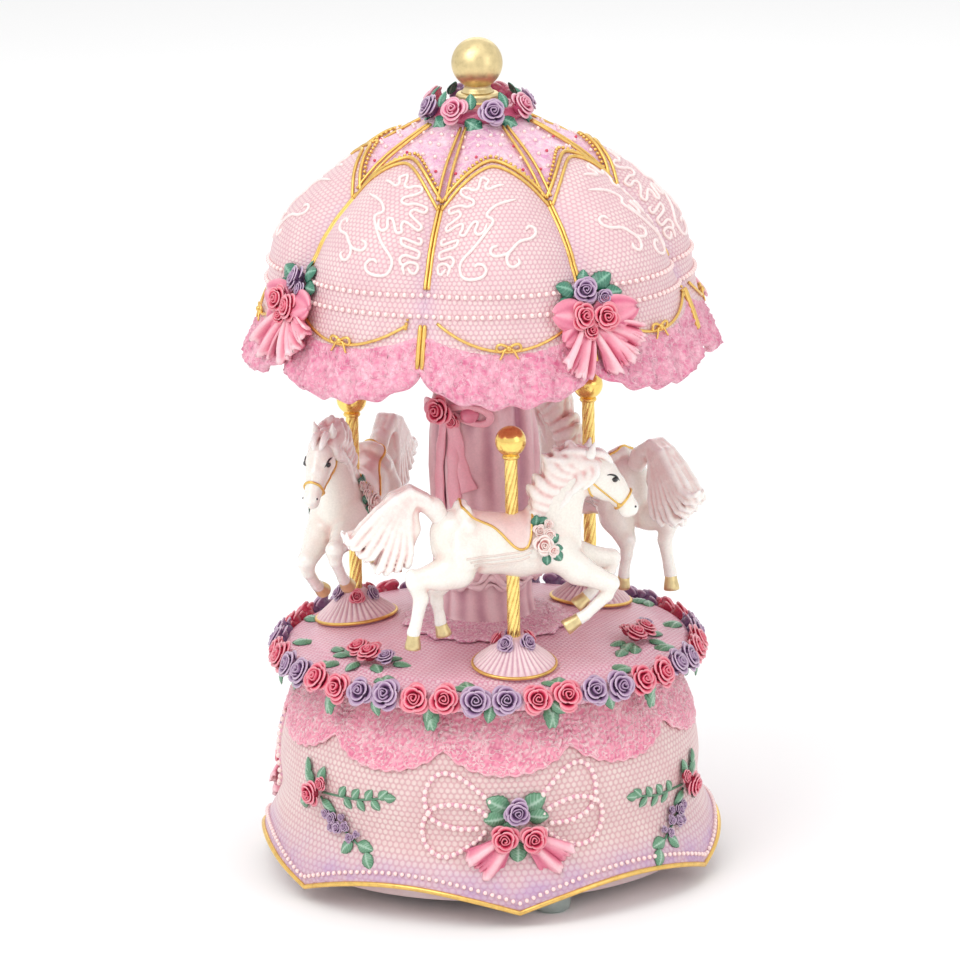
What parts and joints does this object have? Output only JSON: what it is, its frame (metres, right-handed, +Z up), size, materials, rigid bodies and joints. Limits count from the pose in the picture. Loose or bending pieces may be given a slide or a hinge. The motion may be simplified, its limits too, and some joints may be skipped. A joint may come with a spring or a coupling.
{
  "type": "carousel music box",
  "caption": "Wind-up music box whose turning platform carries prancing horses on gold poles round a draped column under a scalloped canopy.",
  "frame": {"origin": "on the table, under the turning axis, in the plane of the feet's bottoms", "axes": "+Z up along the turning axis, -Y the front with a pearl bow and the first horse just beside it, +X to the viewer's right"},
  "size_m": [0.112, 0.112, 0.2],
  "materials": {
    "base_resin": "painted resin, satin, net relief",
    "lace_resin": "painted resin lace, satin",
    "gold_trim": "antique gold paint",
    "pearl": "pearl lustre",
    "rose_red": "glossy painted resin",
    "rose_lilac": "glossy painted resin",
    "leaf_green": "glossy painted resin",
    "ribbon_pink": "satin painted resin",
    "platform_resin": "painted resin, satin, net relief",
    "column_resin": "painted resin, satin",
    "pedestal_resin": "painted resin, satin",
    "horse_glaze": "glossy cream glaze",
    "canopy_resin": "painted resin, satin, net relief",
    "crown_resin": "painted resin, satin",
    "clear_rubber": "translucent rubber",
    "dark_plastic": "moulded black",
    "steel": "bright steel",
    "bed_zinc": "grey zinc casting",
    "movement_brass": "turned brass"
  },
  "bodies": {
    "base": {"base_shell": "base_resin", "bottom_cover": "dark_plastic", "cover_screws": "steel", "rubber_feet": "clear_rubber", "bedplate": "bed_zinc", "movement_screws": "steel", "comb": "steel", "comb_screws": "steel", "cylinder_bracket": "steel", "governor_bracket": "steel", "shaft_bush": "movement_brass", "pearl_bows": "pearl", "base_bouquets": "rose_red", "base_sprays": "leaf_green"},
    "carousel": {"spring_barrel": "movement_brass", "mainspring": "steel", "output_shaft": "steel", "shaft_nut": "movement_brass", "turntable": "platform_resin", "rose_garland": "rose_red", "platform_sprigs": "rose_lilac", "column_ruffle": "lace_resin", "column": "column_resin", "column_bow": "ribbon_pink", "canopy": "canopy_resin", "canopy_ribs": "gold_trim", "canopy_pearls": "pearl", "canopy_swags": "gold_trim", "canopy_bouquets": "rose_red", "crown_roses": "rose_red", "finial_collar": "gold_trim", "finial": "gold_trim", "pedestal_1": "pedestal_resin", "pole_1": "gold_trim", "pole_ball_1": "gold_trim", "horse_1": "horse_glaze", "pedestal_2": "pedestal_resin", "pole_2": "gold_trim", "pole_ball_2": "gold_trim", "horse_2": "horse_glaze", "pedestal_3": "pedestal_resin", "pole_3": "gold_trim", "pole_ball_3": "gold_trim", "horse_3": "horse_glaze"},
    "key": {"winding_arbor": "steel", "winding_key": "movement_brass"},
    "cylinder": {"music_cylinder": "movement_brass", "cylinder_arbor": "movement_brass", "cylinder_wheel": "movement_brass"},
    "governor_gear": {"governor_wheel": "movement_brass"},
    "fan": {"governor_fan": "movement_brass"}
  },
  "joints": [
    {"name": "carousel_turn", "type": "hinge", "parent": "base", "child": "carousel", "pos_m": [0, 0, 0.05], "axis": [0, 0, 1], "continuous": true},
    {"name": "key_turn", "type": "hinge", "parent": "base", "child": "key", "pos_m": [0, 0, 0.008], "axis": [0, 0, 1], "continuous": true},
    {"name": "cylinder_turn", "type": "hinge", "parent": "base", "child": "cylinder", "pos_m": [0.025, 0, 0.0245], "axis": [1, 0, 0], "continuous": true},
    {"name": "governor_gear_turn", "type": "hinge", "parent": "base", "child": "governor_gear", "pos_m": [0.036, -0.0076, 0.0245], "axis": [1, 0, 0], "continuous": true},
    {"name": "fan_turn", "type": "hinge", "parent": "base", "child": "fan", "pos_m": [0.0366, -0.0139, 0.0245], "axis": [0, 0, 1], "continuous": true}
  ],
  "couplings": [
    {"joint": "cylinder_turn", "follows": "carousel_turn", "ratio": 4},
    {"joint": "governor_gear_turn", "follows": "carousel_turn", "ratio": -15},
    {"joint": "fan_turn", "follows": "carousel_turn", "ratio": -300}
  ]
}
